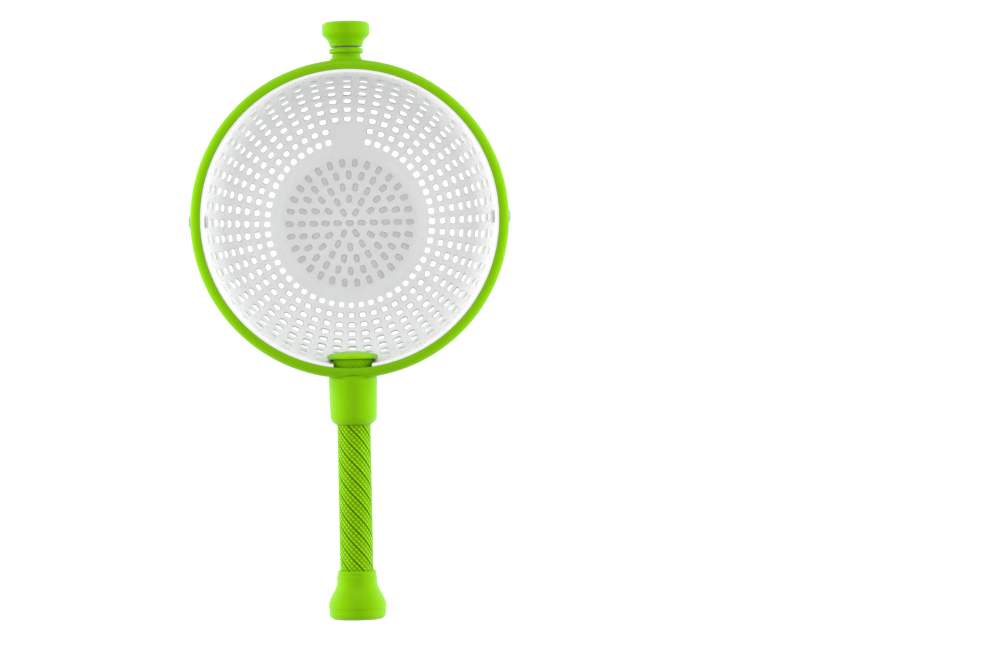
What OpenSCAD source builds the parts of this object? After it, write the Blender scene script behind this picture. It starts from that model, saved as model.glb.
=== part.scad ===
// Hand salad spinner: a perforated bowl held by its rim in a hoop. A handle slides and turns in a socket
// on one side of the hoop, and a knob that turns on the other side stands in the sink.
// Millimetres. The bowl rests on z = 0 at the origin, the handle points along -Y and the knob along +Y.

/* [Bowl] */
// Height of the bowl's rim above the resting plane
rim_z = 95; // [90:0.5:100]
// Depth of the bowl's floor below the rim
bowl_depth = 90.5; // [88:0.5:92]
// Radius of the arc that the inner wall follows
bowl_arc_r = 107; // [105:0.5:108]
// How far past the centre line the arc's own centre lies
bowl_arc_offset = 8; // [6:0.5:9]
// Thickness of the bowl's wall
bowl_wall = 2; // [1.5:0.1:2.2]
// Outer radius of the foot ring
foot_r = 48.5; // [46:0.5:49]
// Width of the foot ring
foot_w = 2.5; // [2:0.5:4]

/* [Drain holes] */
// Columns of holes round the wall, a multiple of four
hole_columns = 52; // [44:4:52]
// Rows of holes down the wall
hole_rows = 9; // [7:1:9]
// Angle below the rim plane of the first row
first_row_angle = 11.6; // [11:0.1:12]
// Angle between rows
row_angle = 5.05; // [4.9:0.05:5.1]
// Width of a wall hole
hole_w = 5; // [4:0.1:5.4]
// Rings of holes in the floor, each with six more than the last
floor_rings = 5; // [3:1:5]
// Distance between the rings in the floor
floor_pitch = 8.45; // [8.2:0.05:8.5]
// Length of a floor hole, along the radius
floor_hole_l = 5.6; // [4:0.1:6]
// Width of a floor hole
floor_hole_w = 3.6; // [3:0.1:4]

/* [Hoop] */
// Outer radius of the hoop's two beads
hoop_r = 107.9; // [107:0.1:108]
// Inner radius of the hoop
hoop_in_r = 101.2; // [101.2:0.1:101.6]
// Height of the hoop
hoop_h = 34; // [33.6:0.1:35]
// Height of the sunk panels round the hoop
panel_h = 11; // [8:0.5:12]
// Depth of the sunk panels
panel_depth = 0.9; // [0.5:0.1:1.2]
// Length of the screw slots
slot_l = 17; // [12:0.5:20]
// Width of the screw slots
slot_w = 4.8; // [4.4:0.1:5]

/* [Handle] */
// Radius of the handle's tube
tube_r = 11.4; // [11:0.1:11.6]
// Radius of the flared collar at the tube's inner end
collar_r = 13.35; // [13:0.05:13.4]
// Radius of the stop flange
flange_r = 17.3; // [16:0.1:17.4]
// Travel of the handle from drawn out to pushed in
handle_travel = 98; // [80:1:98]
// Radius of the grip at its wide end
grip_r = 19.6; // [18:0.1:21]
// Radius of the disc in the grip's end
disc_r = 16.45; // [14:0.05:16.5]

/* [Foot knob] */
// Radius of the knob's wide end
knob_r = 15.85; // [14:0.05:17]
// Distance of the knob's outer end from the bowl's centre line
knob_end = 134.6; // [134:0.1:135.5]

/* [Hidden] */
$fn = 96;

lime = [0.52, 0.86, 0.05];
milk = [0.93, 0.93, 0.93];
steel = [0.75, 0.76, 0.78];
brass = [0.80, 0.65, 0.30];
axis_z = rim_z - hoop_h / 2;
panel_z = axis_z - 0.5;
slot_z = panel_z + panel_h / 2 - slot_w / 2;
arc_outer_r = bowl_arc_r + bowl_wall;
floor_z = rim_z - bowl_depth;
hole_share = 0.6; // most of the space between columns that a hole takes
snug = 0.05; // gap between pieces that are pressed or screwed together
bead = 0.5; // how far the hoop's two beads stand proud of the skin between them
bowl_in_r = bowl_arc_r - bowl_arc_offset; // radius inside the bowl's rim

// Distances along the handle from the bowl's centre line, with the handle drawn out
flange_start = 89.6;
collar_start = 95.2;
collar_full = 98;
collar_end = 115.6;
spigot_start = 101.6;
clip_start = 109;
clip_w = 1.4;
bush_start = 110.7;
bush_end = 134.7;
socket_end = 139.9;
grip_start = socket_end + 0.7 + handle_travel;
flare_start = grip_start + 9;
flare_end = grip_start + 22.5;
tube_end = grip_start + 23;
web_end = grip_start + 26.3;
disc_start = grip_start + 30.5;
grip_end = grip_start + 32.8;

// Radii round the handle's axis
socket_root_r = 16.5;
socket_mouth_r = 15.8;
socket_round = 6;
spigot_r = 15.6;
socket_bore_r = 14.25;
mouth_bore_r = 11.9;
bush_r = 14.17;
bush_bore_r = 11.48;
bush_flare_r = 12.5;
tube_bore_r = 9.2;
grip_neck_r = 13.25;
grip_pocket_r = 10;
notch_r = 14;

// Distances along the foot's axis from the bowl's centre line
pivot_insert_start = 103;
post_end = 112.8;
post_collar_end = 116;
knob_start = 117.2;
knob_floor = 127.3;
pad_start = 130.7;

// Radii round the foot's axis
post_r = 8.85;
post_collar_r = 11.25;
insert_r = 4.2;
shoulder_r = 3;
knob_bore_r = 4.6;
knob_pocket_r = 10;

// Screws and the bowl's nuts
screw_thread_r = 2;
screw_head_r = 4.35;
screw_head_h = 2;
driver_slot_w = 1.2;
driver_slot_depth = 1;
barrel_r = 2.9;
boss_r = 5.2;

// A smooth S between two values as t goes from 0 to 1
function ease(from, to, t) = from + (to - from) * (1 - cos(180 * t)) / 2;

// Points along such an S from (r0, z0) to (r1, z1)
function s_curve(r0, z0, r1, z1, steps) =
    [for (i = [0:steps]) [ease(r0, r1, i / steps), z0 + (z1 - z0) * i / steps]];

// Points along a circular arc centred on (r, z)
function arc(r, z, radius, from, to, steps) =
    [for (i = [0:steps]) let (a = from + (to - from) * i / steps)
        [r + radius * cos(a), z + radius * sin(a)]];

// Radius of the bowl's inner or outer surface at a height
function bowl_r_at(z, arc_r) = sqrt(pow(arc_r, 2) - pow(rim_z - z, 2)) - bowl_arc_offset;

// Children drawn along +Z come out along the handle, away from the bowl
module along_handle() {
    translate([0, 0, axis_z]) rotate([90, 0, 0]) children();
}

// Children drawn along +Z come out along the foot, away from the bowl
module along_foot() {
    translate([0, 0, axis_z]) rotate([-90, 0, 0]) children();
}

// Children drawn along +Z come out along +X or -X at the height of the screws
module along_screw(side) {
    translate([0, 0, slot_z]) rotate([0, 90 * side, 0]) children();
}

module turned(points) {
    rotate_extrude() polygon(points);
}

module ring(outer, inner, from, to) {
    translate([0, 0, from]) difference() {
        cylinder(r = outer, h = to - from);
        translate([0, 0, -1]) cylinder(r = inner, h = to - from + 2);
    }
}

module disc(radius, from, to) {
    translate([0, 0, from]) cylinder(r = radius, h = to - from);
}

// A bar with two round ends, drawn flat and centred
module obround(length, width) {
    square([length - width, width], center = true);
    for (side = [-1, 1]) translate([side * (length - width) / 2, 0]) circle(d = width, $fn = 24);
}

// ---- Bowl ----

module bowl_shell() {
    rotate_extrude() union() {
        intersection() {
            difference() {
                translate([-bowl_arc_offset, rim_z]) circle(r = arc_outer_r, $fn = 180);
                translate([-bowl_arc_offset, rim_z]) circle(r = bowl_arc_r, $fn = 180);
            }
            translate([0, floor_z - bowl_wall]) square([hoop_r, bowl_depth + bowl_wall]);
        }
        translate([0, floor_z - bowl_wall]) square([bowl_r_at(floor_z, bowl_arc_r) + 0.3, bowl_wall]);
        translate([foot_r - foot_w, 0]) square([foot_w, floor_z - bowl_wall / 2]);
    }
}

// The top row stops short of the handle's notch, and the lowest two leave a blank pad at the foot's side
function hole_kept(column, row) =
    let (from_foot = min(column, hole_columns - column))
    let (from_handle = abs(column - hole_columns / 2))
    !(from_foot <= 1 && row >= hole_rows - 2)
    && !(from_handle <= 1 && row == 0)
    && !(from_handle == 0 && row == 1);

// The columns close up towards the floor, so the lowest holes are narrower
function wall_hole_width(row) =
    let (row_r = bowl_arc_r * cos(first_row_angle + row * row_angle) - bowl_arc_offset)
    min(hole_w, hole_share * 2 * PI * row_r / hole_columns);

module wall_holes() {
    for (column = [0:hole_columns - 1], row = [0:hole_rows - 1]) if (hole_kept(column, row))
        rotate([0, 0, 90 + column * 360 / hole_columns])
            translate([-bowl_arc_offset, 0, rim_z])
                rotate([0, first_row_angle + row * row_angle, 0])
                    translate([bowl_arc_r + bowl_wall / 2, 0, 0])
                        cube([3 * bowl_wall, wall_hole_width(row), hole_w], center = true);
}

module floor_holes() {
    translate([0, 0, floor_z - 2 * bowl_wall]) linear_extrude(3 * bowl_wall) {
        obround(floor_hole_l, floor_hole_w);
        for (n = [1:floor_rings], i = [0:6 * n - 1])
            rotate(i * 60 / n) translate([n * floor_pitch, 0])
                square([floor_hole_l, floor_hole_w], center = true);
    }
}

// Room for the handle's collar, open at the rim, and a stepped seat round the flange's edge
module handle_notch() {
    seat_gap = 0.3;
    along_handle() {
        disc(notch_r, flange_start, spigot_start);
        disc(flange_r + 2 * seat_gap, flange_start - 6, collar_start - seat_gap);
        disc(flange_r - 4 * seat_gap, flange_start - 6, collar_start + seat_gap);
    }
    translate([-notch_r, -spigot_start, axis_z]) cube([2 * notch_r, spigot_start - flange_start, hoop_h]);
}

module basket() {
    color(milk) difference() {
        union() {
            bowl_shell();
            for (side = [-1, 1]) along_screw(side) disc(boss_r, bowl_in_r, hoop_in_r - 0.1);
        }
        wall_holes();
        floor_holes();
        handle_notch();
        for (side = [-1, 1]) along_screw(side) disc(barrel_r + 0.1, bowl_in_r - 8, hoop_r);
    }
}

// ---- Hoop ----

// Skin with a lip at the bottom and a rounded shoulder at the top, and a skirt that the bowl's rim fits in
module hoop_section() {
    skirt_r = hoop_in_r + 2;
    skirt_low = rim_z - hoop_h + 5;
    skin_r = hoop_r - 2.4;
    body_r = hoop_r - bead;
    round_r = 5;
    groove_top = rim_z - 3.2;
    low_z = rim_z - hoop_h;
    lip_top = low_z + 6.5;
    shoulder_z = rim_z - 7;
    polygon(concat(
        [[skin_r, low_z], [hoop_r, low_z], [hoop_r, lip_top], [body_r, lip_top],
            [body_r, shoulder_z], [hoop_r, shoulder_z]],
        arc(hoop_r - round_r, rim_z - round_r, round_r, 0, 90, 8),
        [[hoop_in_r, rim_z], [hoop_in_r, skirt_low], [skirt_r, skirt_low],
            [skirt_r, groove_top], [skin_r, groove_top]]));
}

// A sunk panel in the hoop's skin, from one azimuth to another
module sunk_panel(from, to) {
    reach = 2 * hoop_r;
    intersection() {
        ring(hoop_r + 2, hoop_r - bead - panel_depth, panel_z - panel_h / 2, panel_z + panel_h / 2);
        linear_extrude(rim_z) polygon([[0, 0], for (a = [from, to]) reach * [cos(a), sin(a)]]);
    }
}

module hoop() {
    panel_from_handle = 15;
    panel_from_foot = 11;
    slot_shift = slot_l / 2 - slot_w / 2;
    color(lime) difference() {
        union() {
            rotate_extrude() hoop_section();
            along_foot() {
                disc(post_r + 2, hoop_in_r + 0.4, hoop_r - 1);
                disc(post_r, hoop_in_r + 0.4, post_collar_end);
                disc(post_collar_r, post_end, post_collar_end);
            }
            along_handle() intersection() {
                disc(spigot_r + 1.2, hoop_in_r - 1, hoop_r - 2);
                rotate([90, 0, 0]) ring(hoop_r - 1, hoop_in_r, -hoop_h, hoop_h);
            }
        }
        along_handle() disc(spigot_r + snug, bowl_in_r - 8, hoop_r + 5);
        along_foot() disc(insert_r + snug, pivot_insert_start, post_collar_end + 1);
        for (side = [-1, 1]) {
            translate([0, -slot_shift, 0]) along_screw(side) rotate([0, 0, 90]) linear_extrude(hoop_r + 5)
                obround(slot_l, slot_w);
            mirror([side < 0 ? 1 : 0, 0, 0]) {
                sunk_panel(-90 + panel_from_handle, -10);
                sunk_panel(5, 90 - panel_from_foot);
            }
        }
    }
}

module handle_socket() {
    color(lime) difference() {
        union() {
            difference() {
                along_handle() turned(concat(
                    [[0, spigot_start], [socket_root_r, spigot_start], [socket_root_r, hoop_r]],
                    arc(socket_mouth_r - socket_round, socket_end - socket_round, socket_round, 0, 70, 7),
                    [[mouth_bore_r, socket_end], [0, socket_end]]));
                cylinder(r = hoop_r + snug, h = 2 * rim_z);
            }
            along_handle() disc(spigot_r, spigot_start, hoop_r + 1);
        }
        along_handle() {
            disc(socket_bore_r, spigot_start - 1, bush_end + 0.3);
            disc(mouth_bore_r, bush_end, socket_end + 1);
            ring(socket_bore_r + 0.9, socket_bore_r - 1, clip_start - 0.1, clip_start + clip_w + 0.1);
        }
    }
}

module socket_bush() {
    color(milk) along_handle() turned([
        [bush_flare_r, bush_start], [bush_r, bush_start], [bush_r, bush_end],
        [bush_bore_r, bush_end], [bush_bore_r, collar_end + 2]]);
}

// A sprung ring, open at the top
module socket_clip() {
    gap_w = 6;
    color(steel) difference() {
        along_handle() ring(socket_bore_r + 0.8, collar_r + 0.35, clip_start, clip_start + clip_w);
        translate([-gap_w / 2, -clip_start - 2 * clip_w, axis_z]) cube([gap_w, 4 * clip_w, hoop_h]);
    }
}

// ---- Handle ----

// The collar's slits end in a short cross cut, so its two halves can spring
module handle_tube() {
    slit_w = 2.3;
    slit_end = 113.5;
    relief_l = 5;
    relief_w = 1.6;
    color(lime) difference() {
        along_handle() turned([
            [tube_bore_r, collar_start], [collar_r, collar_start], [collar_r, collar_full],
            [tube_r, collar_end], [tube_r, tube_end], [tube_bore_r, tube_end]]);
        translate([-hoop_r, -slit_end, axis_z - slit_w / 2]) cube([2 * hoop_r, slit_end, slit_w]);
        translate([-hoop_r, -slit_end, axis_z - relief_l / 2]) cube([2 * hoop_r, relief_w, relief_l]);
    }
}

// A thick cap with a full round edge, on a stem that plugs the tube
module stop_flange() {
    stem_end = 104;
    stem_r = tube_bore_r - snug;
    back = collar_start - snug;
    edge_round = 2.6;
    color(lime) along_handle() turned(concat(
        [[0, stem_end], [stem_r, stem_end], [stem_r, back], [collar_r, back]],
        arc(flange_r - edge_round, back - edge_round - 0.2, edge_round, 75, -75, 10),
        [[0, flange_start]]));
}

module tube_plug() {
    color(lime) along_handle() ring(tube_bore_r - snug, screw_thread_r + snug, tube_end - 14, tube_end);
}

module end_grip() {
    lip_r = 1.5;
    end_round = 4;
    color(lime) along_handle() difference() {
        turned(concat(
            [[0, grip_start]],
            arc(grip_neck_r - lip_r, grip_start + lip_r, lip_r, -90, 0, 4),
            s_curve(grip_neck_r, flare_start, grip_r, flare_end, 10),
            arc(grip_r - end_round, grip_end - end_round, end_round, 0, 90, 6),
            [[0, grip_end]]));
        disc(tube_r + snug, grip_start - 1, tube_end + snug);
        disc(screw_thread_r + 2 * snug, grip_start, grip_end);
        disc(grip_pocket_r, web_end, grip_end);
        disc(disc_r + snug, disc_start - snug, grip_end + 1);
    }
}

module end_disc() {
    color(milk) along_handle() disc(disc_r, disc_start, grip_end);
}

// The slot for a screwdriver in a head's top face
module driver_slot(head_r, top) {
    translate([-2 * head_r, -driver_slot_w / 2, top - driver_slot_depth])
        cube([4 * head_r, driver_slot_w, 2 * driver_slot_depth]);
}

// A pan-headed screw: the head starts at seat and the shank runs back to tip
module pan_screw(tip, seat) {
    top = seat + screw_head_h;
    edge_round = 1.2;
    disc(screw_thread_r, tip, seat + 0.1);
    difference() {
        turned(concat(
            [[0, seat], [screw_head_r, seat]],
            arc(screw_head_r - edge_round, top - edge_round, edge_round, 0, 90, 5),
            [[0, top]]));
        driver_slot(screw_head_r, top);
    }
}

module grip_screw() {
    color(steel) along_handle() pan_screw(tube_end - 12, web_end + snug);
}

// ---- Foot knob ----

module foot_knob() {
    waist_r = 10.3;
    neck_r = 11.3;
    neck_end = knob_start + 2.6;
    wide_start = knob_start + 9.5;
    end_round = 2.6;
    end_face = knob_end - 0.7;
    color(lime) along_foot() difference() {
        turned(concat(
            [[0, knob_start], [waist_r, knob_start]],
            s_curve(neck_r, neck_end, knob_r, wide_start, 10),
            arc(knob_r - end_round, end_face - end_round, end_round, 0, 70, 6),
            [[knob_pocket_r + 1, end_face], [0, end_face]]));
        disc(knob_bore_r + 0.02, knob_start - 1, knob_floor + 1);
        disc(knob_pocket_r, knob_floor, knob_end + 1);
    }
}

// A pad with a low crown that closes the knob's pocket
module foot_pad() {
    pad_r = knob_pocket_r - snug;
    crown = 0.6;
    color(lime) along_foot() turned([
        [0, pad_start], [pad_r, pad_start], [pad_r, knob_end - crown],
        [pad_r / 2, knob_end - crown / 4], [0, knob_end]]);
}

module pivot_insert() {
    color(brass) along_foot() ring(insert_r, screw_thread_r + snug, pivot_insert_start, post_collar_end);
}

// A shoulder screw: the knob turns on the shoulder, between the post and the head
module pivot_screw() {
    head_r = 6.5;
    head_start = knob_floor + 0.6;
    head_end = head_start + 2.2;
    color(steel) along_foot() {
        disc(screw_thread_r, pivot_insert_start + 1, post_collar_end + 0.1);
        disc(shoulder_r, post_collar_end + 0.02, head_start);
        difference() {
            disc(head_r, head_start, head_end);
            driver_slot(head_r, head_end);
        }
    }
}

module pivot_bush() {
    color(milk) along_foot() ring(knob_bore_r, shoulder_r + 0.06, knob_start + 0.1, knob_floor - 0.1);
}

module thrust_washer() {
    color(milk) along_foot() ring(6.5, shoulder_r + 0.1, post_collar_end + snug, knob_start - 0.2);
}

module head_washer() {
    color(steel) along_foot() ring(8, shoulder_r + 0.1, knob_floor + 0.15, knob_floor + 0.55);
}

// ---- Bowl screws ----

module bowl_screw(side) {
    color(steel) along_screw(side) pan_screw(hoop_in_r - 3, hoop_r - bead + snug);
}

// A blind nut: its flat head lies inside the bowl and its barrel fills the boss
module bowl_nut(side) {
    head_start = bowl_in_r - 2.8;
    head_end = head_start + 1.1;
    color(steel) along_screw(side) difference() {
        union() {
            disc(screw_head_r, head_start, head_end);
            disc(barrel_r, head_end - 0.1, hoop_in_r - 0.3);
        }
        disc(screw_thread_r + snug, head_end + 0.4, hoop_in_r);
    }
}

basket();
hoop();
handle_socket();
socket_bush();
socket_clip();
handle_tube();
stop_flange();
tube_plug();
end_grip();
end_disc();
grip_screw();
foot_knob();
foot_pad();
pivot_insert();
pivot_screw();
pivot_bush();
thrust_washer();
head_washer();
bowl_screw(-1);  // screw_left
bowl_screw(1);  // screw_right
bowl_nut(-1);  // nut_left
bowl_nut(1);  // nut_right
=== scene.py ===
"""Hand salad spinner, seen from straight above with its handle drawn out."""
import math

import bmesh
import bpy
import numpy as np
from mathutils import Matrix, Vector, geometry


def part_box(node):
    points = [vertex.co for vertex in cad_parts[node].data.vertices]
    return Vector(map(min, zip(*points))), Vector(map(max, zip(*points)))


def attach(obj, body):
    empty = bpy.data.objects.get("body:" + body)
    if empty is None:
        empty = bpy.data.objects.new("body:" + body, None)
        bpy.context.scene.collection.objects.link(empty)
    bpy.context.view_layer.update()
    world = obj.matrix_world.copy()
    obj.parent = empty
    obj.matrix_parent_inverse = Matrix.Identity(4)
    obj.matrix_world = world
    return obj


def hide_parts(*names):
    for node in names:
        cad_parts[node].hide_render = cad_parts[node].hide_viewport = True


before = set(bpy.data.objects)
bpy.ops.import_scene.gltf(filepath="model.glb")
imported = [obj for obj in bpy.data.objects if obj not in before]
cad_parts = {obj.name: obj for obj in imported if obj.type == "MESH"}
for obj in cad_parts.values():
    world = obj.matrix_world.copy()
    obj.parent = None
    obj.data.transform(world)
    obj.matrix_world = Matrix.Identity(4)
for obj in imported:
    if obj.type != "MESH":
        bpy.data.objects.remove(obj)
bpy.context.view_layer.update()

MM = 0.001
TURN = 2 * math.pi


# ---------------------------------------------------------------- frame

def box_mm(node):
    low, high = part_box(node)
    return np.array(low) / MM, np.array(high) / MM


basket_low, basket_high = box_mm("basket")
hoop_low, hoop_high = box_mm("hoop")
socket_low, socket_high = box_mm("handle_socket")
tube_low, tube_high = box_mm("handle_tube")
flange_low, flange_high = box_mm("stop_flange")
grip_low, grip_high = box_mm("end_grip")
disc_low, disc_high = box_mm("end_disc")
knob_low, knob_high = box_mm("foot_knob")
pad_low, pad_high = box_mm("foot_pad")
screw_low, screw_high = box_mm("screw_right")
nut_low, nut_high = box_mm("nut_right")

RIM_Z = basket_high[2]
AXIS_Z = (grip_low[2] + grip_high[2]) / 2
SCREW_Z = (screw_low[2] + screw_high[2]) / 2
HOOP_R = hoop_high[0]
HOOP_LOW = hoop_low[2]
# distances along the handle from the bowl's centre line
COLLAR_START = -tube_high[1]
SOCKET_START = -socket_high[1]
SOCKET_END = -socket_low[1]
GRIP_START = -grip_high[1]
TUBE_END = -tube_low[1]
GRIP_END = -grip_low[1]
COLLAR_R = (tube_high[0] - tube_low[0]) / 2


# ---------------------------------------------------------------- mesh helpers

def make_object(name, verts, faces, merge=0.0):
    """A smooth-shaded mesh object from points in millimetres."""
    mesh = bpy.data.meshes.new(name)
    mesh.from_pydata((np.asarray(verts) * MM).tolist(), [], faces)
    bm = bmesh.new()
    bm.from_mesh(mesh)
    if merge:
        bmesh.ops.remove_doubles(bm, verts=bm.verts, dist=merge * MM)
    bmesh.ops.recalc_face_normals(bm, faces=bm.faces)
    if bm.calc_volume(signed=True) < 0:
        bmesh.ops.reverse_faces(bm, faces=bm.faces)
    bm.to_mesh(mesh)
    bm.free()
    mesh.shade_smooth()
    piece = bpy.data.objects.new(name, mesh)
    bpy.context.scene.collection.objects.link(piece)
    return piece


def grid_faces(rows, columns, wrap_rows=True, wrap_columns=True):
    """Quads over a grid of points, closed in either direction."""
    i, j = np.meshgrid(np.arange(rows if wrap_rows else rows - 1),
                       np.arange(columns if wrap_columns else columns - 1), indexing="ij")
    i, j = i.ravel(), j.ravel()
    next_i, next_j = (i + 1) % rows, (j + 1) % columns
    corners = [i * columns + j, next_i * columns + j, next_i * columns + next_j, i * columns + next_j]
    return np.stack(corners, 1).tolist()


def rounded(corners, steps=5):
    """An outline of (r, z, radius) corners, each rounded by an arc of its own radius."""
    points = []
    count = len(corners)
    for k, (r, z, radius) in enumerate(corners):
        here = np.array([r, z], float)
        if radius <= 0:
            points.append(here)
            continue
        before = np.array(corners[k - 1][:2], float) - here
        after = np.array(corners[(k + 1) % count][:2], float) - here
        a, b = before / np.linalg.norm(before), after / np.linalg.norm(after)
        half = math.acos(max(-1.0, min(1.0, float(a @ b)))) / 2
        centre = here + (a + b) / np.linalg.norm(a + b) * radius / math.sin(half)
        start = here + a * radius / math.tan(half) - centre
        end = here + b * radius / math.tan(half) - centre
        sweep = math.atan2(start[0] * end[1] - start[1] * end[0], float(start @ end))
        for t in np.linspace(0, sweep, steps + 1):
            turn = np.array([[math.cos(t), -math.sin(t)], [math.sin(t), math.cos(t)]])
            points.append(centre + turn @ start)
    return np.array(points)


def lathe(name, outline, place, steps=128):
    """Turns an (r, z) outline about Z and puts it in place.

    An outline that starts and ends on the axis stays open, and any other is closed into a ring.
    """
    angles = np.arange(steps) * TURN / steps
    r, z = outline[:, 0], outline[:, 1]
    ring = r[0] > 1e-6 or r[-1] > 1e-6
    verts = np.stack([np.outer(np.cos(angles), r), np.outer(np.sin(angles), r),
                      np.broadcast_to(z, (steps, len(z)))], -1).reshape(-1, 3)
    faces = grid_faces(steps, len(outline), wrap_columns=ring)
    return make_object(name, place(verts), faces, merge=0.0005)


def along_handle(verts):
    """From a lathe's own axes to the handle's: +Z becomes -Y."""
    return np.stack([verts[:, 0], -verts[:, 2], verts[:, 1] + AXIS_Z], 1)


def along_foot(verts):
    """From a lathe's own axes to the foot's: +Z becomes +Y."""
    return np.stack([verts[:, 0], verts[:, 2], -verts[:, 1] + AXIS_Z], 1)


def along_screw(side):
    """From a lathe's own axes to a screw's: +Z becomes +X or -X."""
    return lambda verts: np.stack([side * verts[:, 2], side * verts[:, 1], verts[:, 0] + SCREW_Z], 1)


def beside(side, shift=0.0):
    """From a prism's own axes to a screw's, moved along Y: +Z becomes +X or -X."""
    return lambda verts: np.stack([side * verts[:, 2], verts[:, 0] + shift, verts[:, 1] + SCREW_Z], 1)


def through_tube(side):
    """From a prism's own axes to the handle's side: +X becomes -Y and +Z becomes +X or -X."""
    return lambda verts: np.stack([side * verts[:, 2], -verts[:, 0], verts[:, 1] + AXIS_Z], 1)


def cut(piece, cutter):
    """Cuts one closed mesh out of another and removes the cutter."""
    modifier = piece.modifiers.new("cut", "BOOLEAN")
    modifier.operation = "DIFFERENCE"
    modifier.solver = "MANIFOLD"
    modifier.object = cutter
    bpy.context.view_layer.update()
    evaluated = piece.evaluated_get(bpy.context.evaluated_depsgraph_get())
    result = bpy.data.meshes.new_from_object(evaluated)
    piece.modifiers.remove(modifier)
    piece.data = result
    bpy.data.objects.remove(cutter)
    weld(result)


def weld(mesh, distance=0.001 * MM):
    """Joins points that a cut left almost together, and removes empty and back-to-back faces."""
    bm = bmesh.new()
    bm.from_mesh(mesh)
    bmesh.ops.remove_doubles(bm, verts=bm.verts, dist=distance)
    bmesh.ops.dissolve_degenerate(bm, edges=bm.edges, dist=distance / 2)
    bmesh.ops.triangulate(bm, faces=[f for f in bm.faces if len(f.verts) > 4])
    by_corners = {}
    for face in bm.faces:
        by_corners.setdefault(frozenset(face.verts), []).append(face)
    twins = [face for faces in by_corners.values() if len(faces) > 1 for face in faces]
    bmesh.ops.delete(bm, geom=twins, context="FACES")
    bm.to_mesh(mesh)
    bm.free()


def prism(name, outline, near, far, place):
    """A closed prism from a flat (x, y) outline, between two heights."""
    count = len(outline)
    verts = [(x, y, z) for z in (near, far) for x, y in outline]
    faces = [list(range(count)), list(range(count, 2 * count))]
    faces += [[k, (k + 1) % count, count + (k + 1) % count, count + k] for k in range(count)]
    return make_object(name, place(np.array(verts, float)), faces)


def soften(piece):
    """Keeps large faces flat where they meet small rounded edges."""
    modifier = piece.modifiers.new("weighted", "WEIGHTED_NORMAL")
    modifier.mode = "FACE_AREA"
    modifier.weight = 60


def finish_piece(piece, body, node, material):
    """Softens a piece's normals, gives it its material and body, and hides the CAD node that it stands
    for, if any.
    """
    soften(piece)
    piece.data.materials.clear()
    piece.data.materials.append(material)
    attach(piece, body)
    if node:
        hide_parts(node)
    return piece


# ---------------------------------------------------------------- bowl

ARC_R = 107.0           # arc of the inner wall
ARC_OFFSET = 8.0        # how far past the centre line the arc is centred
WALL = 2.0
COLUMNS = 52
ROWS = 9
FIRST_ROW = math.radians(11.6)
ROW_STEP = math.radians(5.05)
HOLE = (4.6, 5.3)       # height and width of a wall hole
HOLE_SHARE = 0.56       # most of a column's width that a hole takes
FLOOR_RINGS = 5
FLOOR_PITCH = 8.45
FLOOR_HOLE = (5.3, 3.3)
SIDE_STEPS = 4          # mesh steps along each side of a cell
FOOT = (46.0, 48.5)     # inner and outer radius of the foot ring
FLOOR_CORNER = 1.25     # rounding of a floor hole's corners
RING_POINTS = 16        # points round a hole
FLOOR_Z = RIM_Z - 90.5
FLOOR_EDGE = 47.3       # radius where the flat floor starts to turn up
LIP = 0.5               # how far a hole's edge is rounded
RIM_ROUND = (0.6, 0.3)  # rounding of the rim's inner and outer edge
DRAFT = 0.25            # how much a hole narrows from inside to outside
DROP = 1.6              # how far down the wall a hole slants on its way out
TOP_RISE = 1.0          # how far up the wall the top row slants instead


def wall_section(phi, depth):
    """Radius and height on the wall: phi is the angle below the rim plane, depth is into the wall."""
    radius = ARC_R + depth
    return radius * np.cos(phi) - ARC_OFFSET, RIM_Z - radius * np.sin(phi)


def wall_points(azimuth, phi, depth):
    r, z = wall_section(phi, depth)
    return np.stack([r * np.cos(azimuth), r * np.sin(azimuth), z], -1)


def hole_ring(length, width, corner):
    """Sixteen points round a rounded rectangle, four to a side, starting at the middle of +x."""
    a, b = length / 2, width / 2
    c = min(corner, a, b)
    k = c * (1 - math.sqrt(0.5))
    quarter = np.array([[a, 0], [a, b - c], [a - k, b - k], [a - c, b]])
    points = [quarter, np.array([[0, b], [c - a, b], [k - a, b - k], [-a, b - c]])]
    return np.concatenate(points + [-p for p in points])


def cell_ring(half_length, half_width):
    """Sixteen points round a plain rectangle that pair with those of hole_ring."""
    side = np.array([[1, 0], [1, 0.5], [1, 1], [0.5, 1], [0, 1], [-0.5, 1], [-1, 1], [-1, 0.5]])
    return np.concatenate([side, -side]) * [half_length, half_width]


def hole_profile(length, width, corner):
    """The rings down one hole from inside to outside: (ring, depth into the wall)."""
    return [(hole_ring(length + 2 * LIP, width + 2 * LIP, corner + LIP), 0.0),
            (hole_ring(length + LIP / 2, width + LIP / 2, corner + LIP / 4), LIP * 0.35),
            (hole_ring(length, width, corner), LIP),
            (hole_ring(length - DRAFT, width - DRAFT, corner), WALL - LIP),
            (hole_ring(length + LIP, width + LIP, corner + LIP / 2), WALL)]


def is_blank(column, row):
    """The lowest rows leave a blank pad at the foot's side, column 0."""
    from_foot = min(column, COLUMNS - column)
    from_handle = abs(column - COLUMNS // 2)
    under_notch = from_handle == 0 and row < 2 or from_handle == 1 and row == 0
    return from_foot <= 1 and row >= ROWS - 2 or under_notch


class Builder:
    """Collects points and faces for one mesh."""

    def __init__(self):
        self.verts, self.faces, self.count = [], [], 0

    def add(self, points, faces):
        points = np.asarray(points).reshape(-1, 3)
        self.verts.append(points)
        self.faces.extend([[i + self.count for i in f] for f in faces])
        self.count += len(points)

    def rings(self, points):
        """Quads between closed rings: points is (rings, points in a ring, 3)."""
        rings, around = points.shape[:2]
        self.add(points, grid_faces(rings, around, wrap_rows=False))

    def sheet(self, points):
        rows, columns = points.shape[:2]
        self.add(points, grid_faces(rows, columns, wrap_rows=False, wrap_columns=False))


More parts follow.
